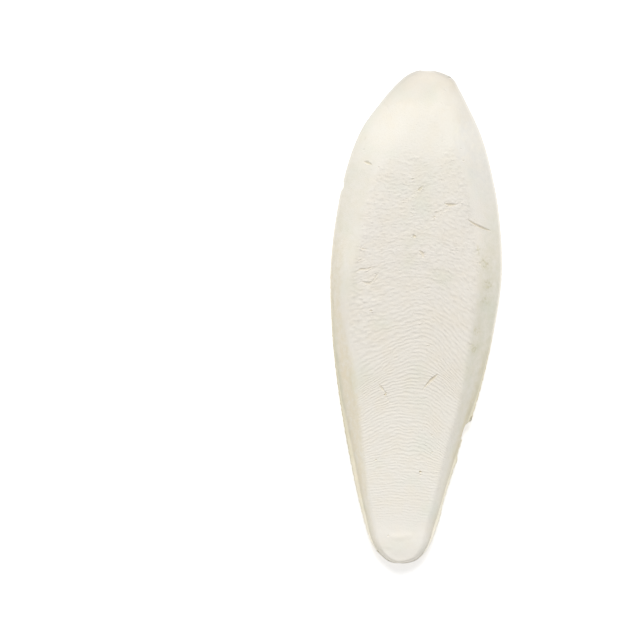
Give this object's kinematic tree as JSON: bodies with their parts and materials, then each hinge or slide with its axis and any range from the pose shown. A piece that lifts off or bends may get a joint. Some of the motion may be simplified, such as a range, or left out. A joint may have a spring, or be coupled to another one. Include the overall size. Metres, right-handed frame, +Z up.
{
  "type": "cuttlebone",
  "caption": "Long oval cuttlebone: a chalky, ridged belly face on a hard, convex back. It lies flat on its back as a natural specimen or a bird's beak stone.",
  "frame": {"origin": "on the surface it lies on, under the middle of its length and width", "axes": "+Z up, out of the ridged belly face; +Y along its length, towards the broad front end; +X to the right of the belly face"},
  "size_m": [0.0551, 0.159, 0.0167],
  "materials": {
    "bone": "dry chalky aragonite, matt and cream-white, with a thin yellowish horny edge and a hard granular back"
  },
  "bodies": {
    "root": {"cuttlebone": "bone"}
  },
  "joints": []
}
